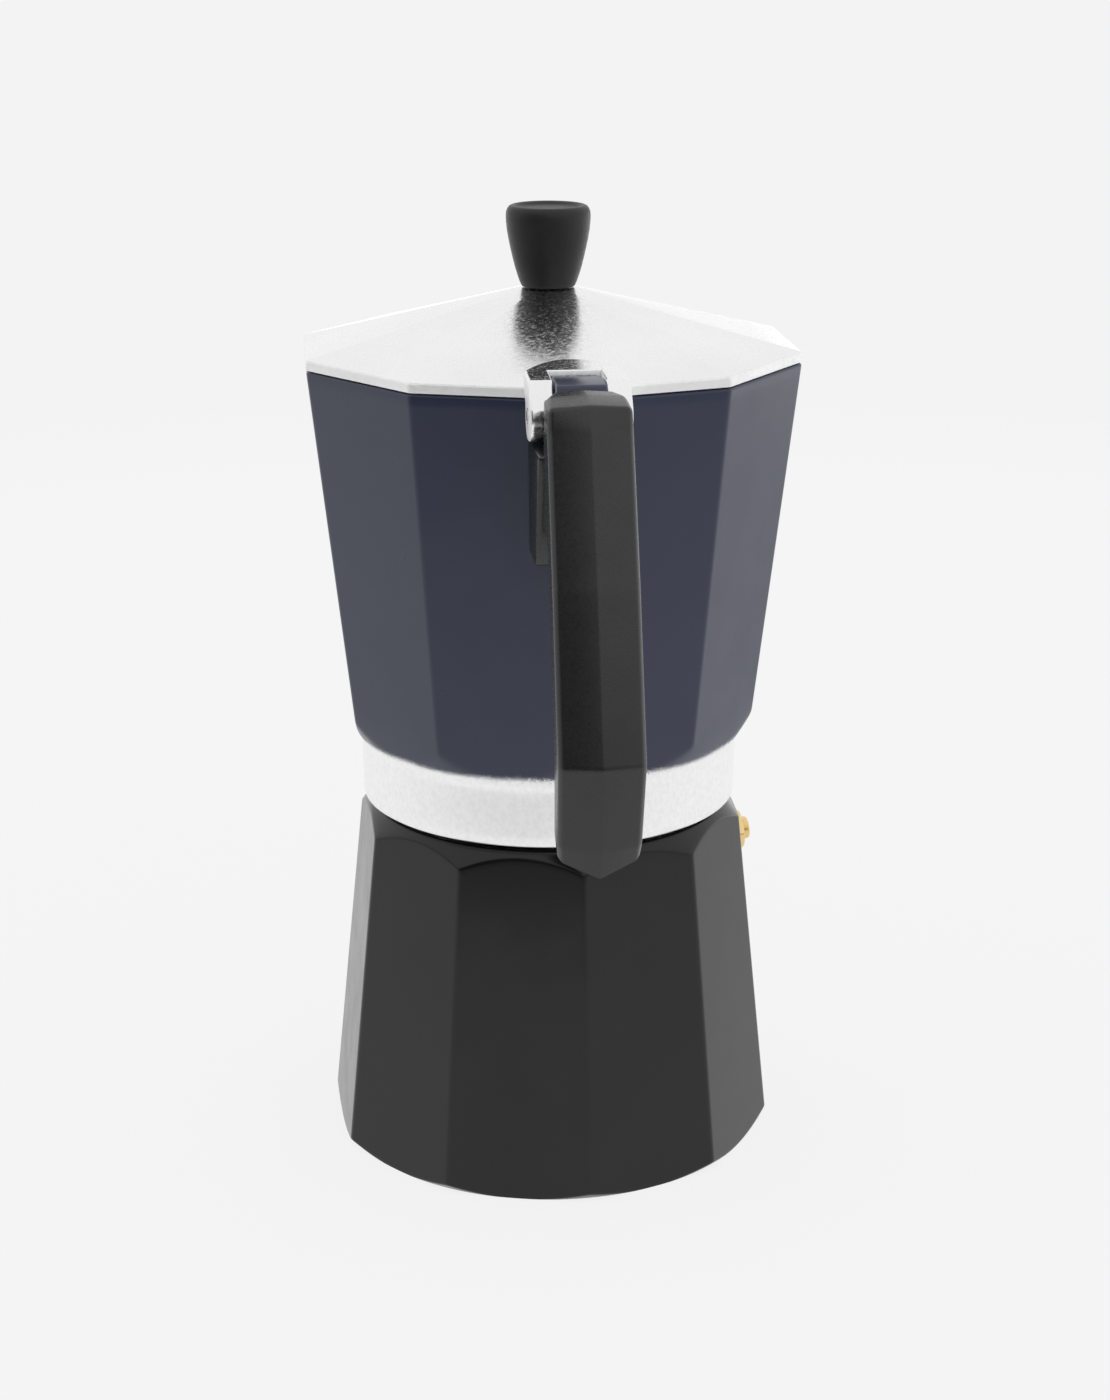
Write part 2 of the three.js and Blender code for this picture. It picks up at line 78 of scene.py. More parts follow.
# ------------------------------------------------------------------ mesh helpers
def new_object(name, verts, faces, body, materials, face_slots=None, sharp=None):
    """A mesh object from points in millimetres, riding on a body."""
    data = bpy.data.meshes.new(name)
    data.from_pydata([tuple(c * MM for c in v) for v in verts], [], faces)
    for material in materials:
        data.materials.append(material)
    if face_slots is not None:
        data.polygons.foreach_set("material_index", face_slots)
    data.validate()
    data.shade_smooth()
    if sharp is not None:
        data.set_sharp_from_angle(angle=math.radians(sharp))
    obj = bpy.data.objects.new(name, data)
    bpy.context.scene.collection.objects.link(obj)
    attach(obj, body)
    return obj


def column_mesh(columns, closed_profile=False, slot_of_row=None):
    """Joins columns of points, one column for each angle, into one closed skin."""
    count, rows = len(columns), len(columns[0])
    on_axis = [not closed_profile and all(math.hypot(c[i][0], c[i][1]) < 1e-6 for c in columns)
               for i in range(rows)]
    verts, index = [], {}
    for j, column in enumerate(columns):
        for i, point in enumerate(column):
            if on_axis[i] and j:
                index[j, i] = index[0, i]
                continue
            index[j, i] = len(verts)
            verts.append(point)
    faces, slots = [], []
    for j in range(count):
        k = (j + 1) % count
        for i in range(rows if closed_profile else rows - 1):
            n = (i + 1) % rows
            ring = [index[j, i], index[k, i], index[k, n], index[j, n]]
            ring = [v for m, v in enumerate(ring) if v != ring[m - 1]]
            faces.append(ring)
            slots.append(slot_of_row(i) if slot_of_row else 0)
    return verts, faces, slots


def polar(angles, profile):
    """Columns of points from profile(angle) -> [(radius, z), ...]; angle 0 is the handle's side."""
    return [[(r * math.sin(a), -r * math.cos(a), z) for r, z in profile(a)] for a in angles]


def round_angles(count):
    return [TAU * i / count for i in range(count)]


def facet_angles(turn=0.0, extra=()):
    """Angles that are close together at the corners of a ten-sided section."""
    half = math.degrees(HALF_FACET)
    side = [half - d for d in (0.3, 0.65, 1.0, 1.5, 2.6)] + [13, 10.5, 8, 5.4, 2.7]
    local = sorted([-half] + [-s for s in side] + [0] + side)
    angles = {round((turn + 36 * k + half + t) % 360, 4) for k in range(SIDES) for t in local}
    angles |= {round(a % 360, 4) for a in extra}
    return [math.radians(a) for a in sorted(angles)]


def section(angle, corner_r, turn=0.0, rounding=2.5):
    """Radius of a ten-sided section with rounded corners, at an angle in radians."""
    local = (angle - math.radians(turn)) % (2 * HALF_FACET) - HALF_FACET
    apothem = corner_r * math.cos(HALF_FACET)
    reach = (apothem - rounding) * math.tan(HALF_FACET)
    if abs(apothem * math.tan(local)) <= reach:
        return apothem / math.cos(local)
    cx, cy = apothem - rounding, reach
    along = cx * math.cos(local) + cy * abs(math.sin(local))
    return along + math.sqrt(max(0.0, along * along - cx * cx - cy * cy + rounding * rounding))


def soft_min(a, b, k):
    h = max(k - abs(a - b), 0.0) / k
    return min(a, b) - h * h * k / 4


def soft_max(a, b, k):
    return -soft_min(-a, -b, k)


def crossing(f, lo, hi):
    """Where a falling function of z meets zero, between lo and hi."""
    for _ in range(30):
        mid = (lo + hi) / 2
        lo, hi = (mid, hi) if f(mid) > 0 else (lo, mid)
    return (lo + hi) / 2


def steps(a, b, count):
    return [a + (b - a) * (i + 1) / (count + 1) for i in range(count)]


def thread(angle, z, start, length, pitch=3.2):
    """0 at the root and 1 at the crest of a right-handed thread, fading out at both ends."""
    along = z - start
    phase = ((along - pitch * angle / TAU) / pitch) % 1.0
    tooth = min(1.0, max(0.0, 1.7 - 4.2 * abs(phase - 0.5)))
    fade = min(1.0, max(0.0, along / 1.2), max(0.0, (length - along) / 1.2))
    return tooth * tooth * (3 - 2 * tooth) * fade


def rounded(points, radius, arc_steps=3):
    """A closed outline with its corners rounded; a point may carry its own radius."""
    result = []
    for i, point in enumerate(points):
        r = point[2] if len(point) > 2 else radius
        p = Vector(point[:2])
        before, after = Vector(points[i - 1][:2]) - p, Vector(points[(i + 1) % len(points)][:2]) - p
        cut = min(r, 0.45 * before.length, 0.45 * after.length)
        start, end = p + before.normalized() * cut, p + after.normalized() * cut
        for s in range(arc_steps + 1):
            t = s / arc_steps
            result.append(tuple((1 - t) ** 2 * start + 2 * t * (1 - t) * p + t * t * end))
    return result


def inset(outline, distance):
    """An outline moved inwards; the outline runs anticlockwise."""
    result = []
    for i, point in enumerate(outline):
        p, a, b = Vector(point), Vector(outline[i - 1]), Vector(outline[(i + 1) % len(outline)])
        n1, n2 = (p - a).normalized(), (b - p).normalized()
        normal = Vector((-(n1.y + n2.y), n1.x + n2.x))
        if normal.length < 1e-6:
            normal = Vector((-n1.y, n1.x))
        normal.normalize()
        result.append(tuple(p + normal * distance / max(0.5, normal.dot(Vector((-n1.y, n1.x))))))
    return result


def area(outline):
    return sum(outline[i - 1][0] * p[1] - p[0] * outline[i - 1][1] for i, p in enumerate(outline)) / 2


def slab_mesh(outline, half, edge=0.5, centre=0.0):
    """A side outline of (distance towards the handle, z) points made into a plate with soft edges."""
    if area(outline) < 0:
        outline = outline[::-1]
    rings = []
    for x, drawn in ((-half, edge), (-half + 0.3 * edge, 0.3 * edge), (-half + edge, 0),
                     (half - edge, 0), (half - 0.3 * edge, 0.3 * edge), (half, edge)):
        ring = inset(outline, drawn) if drawn else outline
        rings.append([(centre + x, -u, z) for u, z in ring])
    return loft_mesh(rings)


def loft_mesh(rings):
    """Rings of equal point count joined into one skin, with flat ends."""
    count = len(rings[0])
    verts = [p for ring in rings for p in ring]
    faces = []
    for i in range(len(rings) - 1):
        here, above = i * count, (i + 1) * count
        for j in range(count):
            k = (j + 1) % count
            faces.append((here + j, here + k, above + k, above + j))
    last = (len(rings) - 1) * count
    faces.append(tuple(reversed(range(count))))
    faces.append(tuple(range(last, last + count)))
    return verts, faces


def cross_cylinder(u, z, r, half, count=40):
    """A cylinder along X through a place on the side outline."""
    circle = [(u + r * math.cos(TAU * i / count), z + r * math.sin(TAU * i / count)) for i in range(count)]
    return loft_mesh([[(x, -cu, cz) for cu, cz in circle] for x in (-half, half)])


def solid_object(name, parts):
    verts, faces = parts
    data = bpy.data.meshes.new(name)
    data.from_pydata([tuple(c * MM for c in v) for v in verts], [], faces)
    obj = bpy.data.objects.new(name, data)
    bpy.context.scene.collection.objects.link(obj)
    bpy.context.view_layer.objects.active = obj
    for other in bpy.context.selected_objects:
        other.select_set(False)
    obj.select_set(True)
    bpy.ops.object.mode_set(mode="EDIT")
    bpy.ops.mesh.select_all(action="SELECT")
    bpy.ops.mesh.normals_make_consistent(inside=False)
    bpy.ops.object.mode_set(mode="OBJECT")
    return obj


def combine(base, others, operation):
    """Joins others to base, or cuts them from it, and removes them."""
    for other in others:
        modifier = base.modifiers.new("cut", "BOOLEAN")
        modifier.operation = operation
        modifier.solver = "MANIFOLD"
        modifier.object = other
        graph = bpy.context.evaluated_depsgraph_get()
        mesh = bpy.data.meshes.new_from_object(base.evaluated_get(graph), depsgraph=graph)
        base.modifiers.clear()
        old = base.data
        base.data = mesh
        bpy.data.meshes.remove(old)
        bpy.data.objects.remove(other)
    return base


def finish_solid(obj, name, body, material, sharp=35):
    obj.name = name
    obj.data.name = name
    obj.data.materials.clear()
    obj.data.materials.append(material)
    obj.data.polygons.foreach_set("material_index", [0] * len(obj.data.polygons))
    obj.data.shade_smooth()
    obj.data.set_sharp_from_angle(angle=math.radians(sharp))
    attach(obj, body)
    return obj


# ------------------------------------------------------------------ materials
class Finish:
    """A Principled material with short ways to add the nodes it needs."""

    def __init__(self, name):
        self.material = bpy.data.materials.new(name)
        self.material.use_nodes = True
        self.nodes = self.material.node_tree.nodes
        self.links = self.material.node_tree.links
        self.shader = self.nodes["Principled BSDF"]
        self.place = self.nodes.new("ShaderNodeTexCoord").outputs["Object"]

    def put(self, socket, value):
        if isinstance(value, bpy.types.NodeSocket):
            self.links.new(value, self.shader.inputs[socket])
        else:
            self.shader.inputs[socket].default_value = value
        return self

    def node(self, kind, inputs=None, output=0, **settings):
        node = self.nodes.new(kind)
        for key, value in settings.items():
            setattr(node, key, value)
        for key, value in (inputs or {}).items():
            if isinstance(value, bpy.types.NodeSocket):
                self.links.new(value, node.inputs[key])
            else:
                node.inputs[key].default_value = value
        return node.outputs[output]

    def stretched(self, x, y, z):
        return self.node("ShaderNodeMapping", {"Vector": self.place, "Scale": (x, y, z)})

    def noise(self, scale, detail=2.0, rough=0.5, vector=None):
        return self.node("ShaderNodeTexNoise", {"Vector": vector or self.place, "Scale": scale,
                                                "Detail": detail, "Roughness": rough})

    def ramp(self, factor, stops):
        node = self.nodes.new("ShaderNodeValToRGB")
        self.links.new(factor, node.inputs["Fac"])
        elements = node.color_ramp.elements
        while len(elements) < len(stops):
            elements.new(0.5)
        for element, (position, color) in zip(elements, stops):
            element.position = position
            element.color = (*color, 1) if len(color) == 3 else color
        return node.outputs["Color"]

    def levels(self, factor, low_value, high_value, start=0.0, end=1.0):
        return self.node("ShaderNodeMapRange", {"Value": factor, "From Min": start, "From Max": end,
                                                "To Min": low_value, "To Max": high_value})

    def bump(self, height, strength, distance, normal=None):
        inputs = {"Height": height, "Strength": strength, "Distance": distance}
        if normal is not None:
            inputs["Normal"] = normal
        return self.node("ShaderNodeBump", inputs)


def grey(value):
    return (value, value, value)


def paint(name, dark, light, rough, ior=1.5):
    """Satin enamel: a slight cloud in the colour and a fine orange peel."""
    f = Finish(name)
    cloud = f.noise(35, 3)
    f.put("Base Color", f.ramp(cloud, [(0.3, dark), (0.7, light)]))
    f.put("Roughness", f.levels(f.noise(90, 4), rough - 0.03, rough + 0.04, 0.3, 0.7))
    peel = f.bump(f.noise(700, 2), 0.1, 0.00006)
    f.put("Normal", f.bump(f.noise(4200, 1), 0.05, 0.00003, peel))
    f.put("IOR", ior)
    return f


def two_tone(name, dark, light, rough, edge_z):
    """Enamel above edge_z that ends in a speckled overspray on bare turned metal below it."""
    f = paint(name, dark, light, rough)
    enamel = f.shader
    metal = f.nodes.new("ShaderNodeBsdfPrincipled")
    bare_finish(f, metal)
    height = f.node("ShaderNodeSeparateXYZ", {"Vector": f.place}, output="Z")
    above = f.levels(height, -3.0, 3.0, (edge_z - 3.0) * MM, (edge_z + 3.0) * MM)
    speckle = f.levels(f.noise(3200, 3, 0.8), -1.3, 1.3, 0.3, 0.7)
    drift = f.levels(f.noise(45, 1), -0.25, 0.25, 0.3, 0.7)
    ragged = f.node("ShaderNodeMath", {0: speckle, 1: drift}, operation="ADD")
    total = f.node("ShaderNodeMath", {0: above, 1: ragged}, operation="ADD")
    mask = f.levels(total, 0.0, 1.0, -0.5, 0.5)
    blend = f.nodes.new("ShaderNodeMixShader")
    f.links.new(mask, blend.inputs["Fac"])
    f.links.new(metal.outputs[0], blend.inputs[1])
    f.links.new(enamel.outputs[0], blend.inputs[2])
    f.links.new(blend.outputs[0], f.nodes["Material Output"].inputs["Surface"])
    return f.material


def bare_finish(f, shader):
    """Turned aluminium on a given Principled shader: fine rings round Z and a grain."""
    rings = f.noise(1, 2, 0.6, f.stretched(20, 20, 5200))
    grain = f.noise(2600, 3, 0.7)
    height = f.node("ShaderNodeMath", {0: rings, 1: grain}, operation="ADD")
    bump = f.bump(height, 0.22, 0.00004)
    tone = f.ramp(f.noise(900, 4, 0.7, f.stretched(1, 1, 0.75)), [(0.36, grey(0.885)), (0.6, grey(0.955))])
    f.links.new(tone, shader.inputs["Base Color"])
    f.links.new(bump, shader.inputs["Normal"])
    f.links.new(f.levels(grain, 0.27, 0.42, 0.3, 0.7), shader.inputs["Roughness"])
    shader.inputs["Metallic"].default_value = 1.0


def turned_metal(name):
    f = Finish(name)
    bare_finish(f, f.shader)
    return f.material


def cast_metal(name, tone_low, tone_high, rough_low, rough_high, grain_scale=1500, grain=0.3, depth=0.00005):
    """Cast or pressed aluminium with a soft satin grain."""
    f = Finish(name)
    f.put("Metallic", 1.0)
    f.put("Base Color", f.ramp(f.noise(45, 4), [(0.3, grey(tone_low)), (0.7, grey(tone_high))]))
    fine = f.noise(grain_scale, 4, 0.7)
    f.put("Roughness", f.levels(fine, rough_low, rough_high, 0.3, 0.7))
    f.put("Normal", f.bump(fine, grain, depth))
    return f.material


def plastic(name, dark, light, rough):
    """Moulded plastic with a fine spark-eroded grain."""
    f = Finish(name)
    f.put("Base Color", f.ramp(f.noise(120, 4), [(0.3, dark), (0.7, light)]))
    f.put("Roughness", f.levels(f.noise(1400, 4, 0.7), rough - 0.08, rough + 0.08, 0.3, 0.7))
    grain = f.bump(f.noise(2600, 3, 0.65), 0.28, 0.00006)
    f.put("Normal", f.bump(f.noise(220, 2), 0.1, 0.0002, grain))
    return f.material


def metal(name, color_low, color_high, rough, scale=1800):
    f = Finish(name)
    f.put("Metallic", 1.0)
    f.put("Base Color", f.ramp(f.noise(400, 3), [(0.3, color_low), (0.7, color_high)]))
    fine = f.noise(scale, 3, 0.6)
    f.put("Roughness", f.levels(fine, rough - 0.06, rough + 0.08, 0.3, 0.7))
    f.put("Normal", f.bump(fine, 0.15, 0.00004))
    return f.material


def rubber(name, dark, light):
    f = Finish(name)
    f.put("Base Color", f.ramp(f.noise(260, 4), [(0.3, dark), (0.7, light)]))
    f.put("Roughness", f.levels(f.noise(900, 3), 0.6, 0.8, 0.3, 0.7))
    f.put("Normal", f.bump(f.noise(1100, 3), 0.25, 0.00008))
    return f.material


PAINT_EDGE_Z = 113.2
black = paint("black_enamel", grey(0.0045), grey(0.0065), 0.18, 1.43).material
navy = two_tone("navy_enamel", (0.0222, 0.0292, 0.0625), (0.0248, 0.0322, 0.0670), 0.3, PAINT_EDGE_Z)
turned = turned_metal("turned_aluminium")
satin = cast_metal("satin_aluminium", 0.86, 0.9, 0.04, 0.36, 1000, 0.5, 0.00004)
sheared = cast_metal("sheared_aluminium", 0.95, 1.0, 0.55, 0.85, 700, 0.8, 0.00015)
pressed = cast_metal("pressed_aluminium", 0.66, 0.76, 0.3, 0.45)
inside = cast_metal("cast_aluminium", 0.6, 0.7, 0.38, 0.52, 1100, 0.4)
black_plastic = plastic("black_plastic", grey(0.010), grey(0.014), 0.28)
black_plastic.node_tree.nodes["Principled BSDF"].inputs["Specular IOR Level"].default_value = 0.58
knob_plastic = plastic("knob_plastic", grey(0.016), grey(0.022), 0.44)
knob_plastic.node_tree.nodes["Principled BSDF"].inputs["Specular IOR Level"].default_value = 0.32
brass = metal("brass", (0.76, 0.53, 0.21), (0.88, 0.67, 0.32), 0.2)
steel = metal("steel", grey(0.5), grey(0.62), 0.3)
seal = rubber("silicone", (0.62, 0.59, 0.52), (0.72, 0.69, 0.62))
fibre = rubber("fibre", (0.16, 0.05, 0.03), (0.24, 0.08, 0.05))


# ------------------------------------------------------------------ boiler
BOILER_TURN = 4.2
FOOT_R = 61.1
LEAN = -0.106
LEDGE_Z = 93.0
NECK_R = 42.6
BORE_R = 39.5
BARE_BELOW_ROW = 6  # rows of the boiler's profile: the bare base ends here
LEDGE_ROW = 29  # and the bare neck begins after this one


def boiler():
    def facet(a, z):
        return section(a, FOOT_R + LEAN * z, BOILER_TURN)

    def base_cone(z):
        return 58.0 + 1.1 * z

    def shoulder(z):
        return 51.8 - 0.8235 * (z - 87.75)

    def profile(a):
        foot = max(0.3, crossing(lambda z: facet(a, z) - base_cone(z), 0, 6))
        top = crossing(lambda z: shoulder(z) - facet(a, z), 80, 95)
        points = [(0, BASE_Z), (30, 0), (43.8, 0), (44.2, 0.35), (46.8, 0.35), (47.2, 0), (56.9, 0),
                  (57.5, 0.05)]
        points += [(soft_min(base_cone(z), facet(a, z), 0.3), z) for z in (0.15, *steps(0.15, foot, 2), foot)]
        points += [(soft_min(base_cone(z), facet(a, z), 0.3), z) for z in (foot + 0.3, foot + 0.9)]
        points += [(facet(a, z), z) for z in (6, 12, 30, 50, 68, 80, top - 2)]
        points += [(soft_min(shoulder(z), facet(a, z), 0.35), z)
                   for z in (top - 0.8, top - 0.3, top, top + 0.3)]
        points += [(shoulder(z), z) for z in steps(top + 0.3, 92.6, 2)]
        points += [(47.8, 92.6), (47.5, 92.9), (47.0, LEDGE_Z), (43.2, LEDGE_Z), (NECK_R, 93.3)]
        rows = np.arange(93.5, 102.4, 0.3)
        points += [(NECK_R + 1.5 * thread(a, z, 93.2, 9.0), z) for z in rows]
        points += [(NECK_R, 102.9), (42.3, 103.35), (41.9, NECK_TOP), (40.2, NECK_TOP), (39.7, 103.3),
                   (BORE_R, 102.9), (BORE_R, 92.5), (40.3, 90.6), (45.4, 85.6), (46.4, 83.5), (50, 48),
                   (53.6, 9), (52.4, 5.6), (49.6, 4.1), (47, 4), (0, 4)]
        return points

    def slot_of_row(i):
        return 1 if i < BARE_BELOW_ROW or i > LEDGE_ROW else 0

    angles = facet_angles(BOILER_TURN)
    verts, faces, slots = column_mesh(polar(angles, profile), slot_of_row=slot_of_row)
    shell = new_object("boiler_shell", verts, faces, "boiler", [black, turned], slots, sharp=50)
    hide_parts("boiler")
    return shell


# ------------------------------------------------------------------ collector
SKIRT_R = 49.8
RIM_Z = 211.7
FACET_R, FACET_Z, RIM_R = 54.9, 118.5, 65.6
SPREAD = (RIM_R - FACET_R) / (RIM_Z - FACET_Z)
WALL = 3.1
SPOUT_TIP, SPOUT_FOOT_Z = 80.0, 166.0


def beak(a, z, draw_in):
    """Radius of the spout's two flanks at an angle, or 0 below its foot."""
    foot_z = SPOUT_FOOT_Z + 3 * draw_in
    if z < foot_z - 6:
        return 0.0
    off = abs(a % TAU - math.pi)
    if off > 1.2:
        return 0.0
    foot_r = FACET_R + SPREAD * (foot_z - FACET_Z) - 0.4
    tip_r = SPOUT_TIP - 1.6 * draw_in
    tip = foot_r + (tip_r - foot_r) * min(1.0, (z - foot_z) / (RIM_Z - 3.5 - foot_z))
    return tip / (math.sin(off) + math.cos(off))


def collector():
    def facet(a, z):
        return section(a, FACET_R + SPREAD * (z - FACET_Z), 0, 2.2)

    def bowl(z):
        return 50.0 + 0.6 * (z - 110.4)

    def outside(a, z):
        r = soft_min(bowl(z), facet(a, z), 0.8)
        r = soft_max(r, SKIRT_R + 0.2, 0.8) if z < 113 else r
        return min(soft_max(r, beak(a, z, 0), 1.6), SPOUT_TIP)

    def inner(a, z):
        r = section(a, FACET_R + SPREAD * (z - FACET_Z) - WALL, 0, 4)
        room = 42 + 9 * min(1.0, ((z - 115) / 11) ** 0.6) + max(0, z - 126) * 0.4
        return soft_max(min(r, room), beak(a, z, 2.4), 1.2)

    def profile(a):
        meet = crossing(lambda z: facet(a, z) - bowl(z), 108, 124)
        points = [(48.6, SKIRT_FOOT), (49.2, SKIRT_FOOT + 0.05), (49.65, SKIRT_FOOT + 0.35), (49.8, 95.3)]
        points += [(SKIRT_R + 0.2 * (z - 95) / 14, z) for z in (98, 102, 106, 109)]
        points += [(outside(a, z), z) for z in (109.8, 110.4, 111.0, *steps(111.0, meet - 0.6, 3))]
        points += [(outside(a, z), z) for z in (meet - 0.6, meet - 0.2, meet + 0.2, meet + 0.6, meet + 1.4)]
        points += [(outside(a, z), z) for z in (123, 135, 150, 158, *np.arange(161, 211, 2.5), 211.0)]
        rim = outside(a, RIM_Z)
        points += [(rim - 0.15, RIM_Z - 0.25), (rim - 0.5, RIM_Z)]
        lip = inner(a, RIM_Z)
        points += [(max(lip + 0.4, rim - 2.6), RIM_Z), (lip + 0.1, RIM_Z - 0.3)]
        points += [(inner(a, z), z) for z in (211.0, *np.arange(208.5, 160, -2.5), 150, 138, 128, 124, 121,
                                              118.5, 117, 116, 115.3)]
        points += [(39, 114.9), (24, 114.8), (9.2, 114.8), (8.7, 114.4), (8.7, 111.9), (9.1, 111.6),
                   (12, 111.5), (36, 110.7), (38.8, 110.3), (38.8, 108.9), (42.4, 108.9), (42.4, 104.8),
                   (42.8, 104.5),
                   (45.9, 104.5), (46.1, 104.2)]
        rows = np.arange(103.9, 95.2, -0.3)
        points += [(46.1 - 1.5 * thread(a, z, 95.4, 8.4), z) for z in rows]
        points += [(46.2, 95.0), (46.8, SKIRT_FOOT)]
        return points

    spout_steps = (0, 0.4, 0.9, 1.5, 2.4, 3.5, 5, 6.5, 8, 9.5, 11, 12.5, 14, 15, 19.5, 21, 22.5, 24, 25.5)
    spout_side = [180 + s * d for s in (-1, 1) for d in spout_steps]
    angles = facet_angles(0, spout_side)
    columns = polar(angles, profile)
    first_inside = 4 + 4 + 6 + 5 + 4 + 20 + 1 + 3  # the rows of the profile up to the middle of the rim

    def slot_of_row(i):
        return 0 if i < first_inside else 1

    verts, faces, slots = column_mesh(columns, closed_profile=True, slot_of_row=slot_of_row)
    shell = new_object("collector_shell", verts, faces, "collector", [navy, inside], slots, sharp=50)
    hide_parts("collector")
    outline = rounded([(61.6, 203.6, 0.1), (90.5, 203.6), (90.5, 213.6), (78.6, 213.6, 0.8),
                       (76.3, 216.8, 0.3), (75.4, 217.4, 0.4), (70.5, 217.65, 2), (64.3, 217.5, 0.5),
                       (63, 216, 0.5),
                       (61.6, 211, 0.1)], 0.6)
    tongue = solid_object("tongue", slab_mesh(outline, 5.9, 0.5))
    finish_solid(tongue, "hinge_tongue", "collector", navy, 40)
    return shell, tongue


# ------------------------------------------------------------------ handle
# Down the back of the handle: ridge place, way into the section, depth, half width of the facets,
# chamfer, how far the sides draw back, and how far they climb at the foot.
HANDLE_STATIONS = [
    (81.0, 217.2, 0.0, -1.0, 11, 6.6, 0.8, 0.4, 0),
    (85.0, 217.05, -0.1, -1.0, 13, 8.6, 0.9, 0.5, 0),
    (93.6, 216.1, -0.65, -1.0, 17, 8.7, 0.9, 0.7, 0),
    (96.3, 211.2, -1.0, -0.5, 15, 8.8, 1.0, 2.0, 0),
    (109.6, 177.6, -1.0, -0.4, 13, 8.9, 1.0, 2.0, 0),
    (122.1, 140.0, -1.0, -0.1, 13.5, 9.0, 1.0, 2.0, 0),
    (117.6, 119.0, -1.0, 0.22, 12, 8.7, 1.0, 2.0, 0),
    (115.6, 111.8, -1.0, 0.45, 9, 8.5, 1.0, 1.8, 3.6),
]


def soft_stations(stations, length, count=3):
    """Each inner station becomes a short arc of stations, so that the bends are soft."""
    values = [np.array(s, float) for s in stations]
    result = [values[0]]
    for before, here, after in zip(values, values[1:], values[2:]):
        reach_in = min(0.4, length / np.linalg.norm((before - here)[:2]))
        reach_out = min(0.4, length / np.linalg.norm((after - here)[:2]))
        start, end = here + (before - here) * reach_in, here + (after - here) * reach_out
        for s in range(count + 1):
            t = s / count
            result.append((1 - t) ** 2 * start + 2 * t * (1 - t) * here + t * t * end)
    return result + [values[-1]]


def handle_ring(values):
    u, z, iu, iz, deep, half, chamfer, rise, sweep = values
    length = math.hypot(iu, iz)
    wide = half + chamfer
    side = [(half, rise, 0.8 * sweep), (wide, rise + 1.3 * chamfer, sweep), (wide, deep - 2.4, sweep),
            (wide - 2.2, deep, sweep)]
    outline = [(0, 0, 0), *side, *[(-x, d, s) for x, d, s in reversed(side)]]
    soft = []
    for i, (x, d, lift) in enumerate(outline):
        px, pd, pl = outline[i - 1]
        nx, nd, nl = outline[(i + 1) % len(outline)]
        cut = 0.35 if i == 0 else 0.45
        a = min(0.4, cut / math.hypot(px - x, pd - d))
        b = min(0.4, cut / math.hypot(nx - x, nd - d))
        for t in (0, 0.5, 1):
            wa, wb = (1 - t) ** 2 * a, t * t * b
            soft.append((x + wa * (px - x) + wb * (nx - x), d + wa * (pd - d) + wb * (nd - d),
                         lift + wa * (pl - lift) + wb * (nl - lift)))
    return [(x, -(u + iu / length * d), z + iz / length * d + lift) for x, d, lift in soft]


def wall_u(x, z, gap=0.45):
    """How far out the collector's corner wall stands at a distance x to the side, plus a gap."""
    return FACET_R + SPREAD * (z - FACET_Z) + gap - abs(x) * math.tan(HALF_FACET)


def saddle_mesh():
    """The pad that hugs the collector's corner under the hinge."""
    rings = []
    for z, draw in ((174.0, 0.7), (174.25, 0.25), (174.7, 0), (181, 0), (190, 0), (196, 0), (201.9, 0),
                    (202.35, 0.25), (202.6, 0.7)):
        half = 11.0 - 0.5 * (202.6 - z) / 28 - draw
        front = 72.5 + max(0.0, z - 174) * 0.42 - draw
        back = [(x, wall_u(x, z) + draw) for x in (-half, -half / 2, -0.6, 0, 0.6, half / 2, half)]
        front_side = [(half, front - 0.9), (half - 0.25, front - 0.25), (half - 0.9, front)]
        ring = back + front_side + [(-x, u) for x, u in reversed(front_side)]
        rings.append([(x, -u, z) for x, u in ring])
    return loft_mesh(rings)


def handle():
    grip = solid_object("grip", loft_mesh([handle_ring(v) for v in soft_stations(HANDLE_STATIONS, 0.9)]))
    head = rounded([(79.9, 184), (79.9, 215.3), (92, 214.4), (96, 206), (101, 190), (97, 178), (88, 187)],
                   1.2)
    bridge = rounded([(71, 183.5), (77, 184), (90, 187, 4), (90, 203.2), (71, 202.2)], 0.8)
    parts = [solid_object("head", slab_mesh(head, 9.2, 0.7)),
             solid_object("bridge", slab_mesh(bridge, 9.2, 0.7)),
             solid_object("saddle", saddle_mesh())]
    combine(grip, parts, "UNION")
    pocket = slab_mesh([(60, 203.2), (91, 203.2), (91, 214.1), (60, 214.1)], 6.2, 0.01)
    cuts = [solid_object("pocket", pocket),
            solid_object("pin_hole", cross_cylinder(HANDLE_PIN_U, HANDLE_PIN_Z, 1.9, 20))]
    combine(grip, cuts, "DIFFERENCE")
    finish_solid(grip, "handle_body", "collector", black_plastic, 32)
    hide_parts("handle")
    return grip


# ------------------------------------------------------------------ lid
LID_R = 65.7
LID_EDGE = 2.3
SLOT_HALF = 6.3
SLOT_BACK = 60.2
PAD_HALF = 12.0
PAD_BACK = 47.9
SHEARED_ROWS = range(10, 16)  # rows of the lid's profile round its cut edge


def lid_top(a, r):
    """Height of the lid's sheet above a place at an angle and radius."""
    share = (r - 7.2) / (section(a, LID_R, 0, 1.6) - 7.2)
    return LID_CROWN + (LID_FOOT + LID_EDGE + 0.25 - LID_CROWN) * share


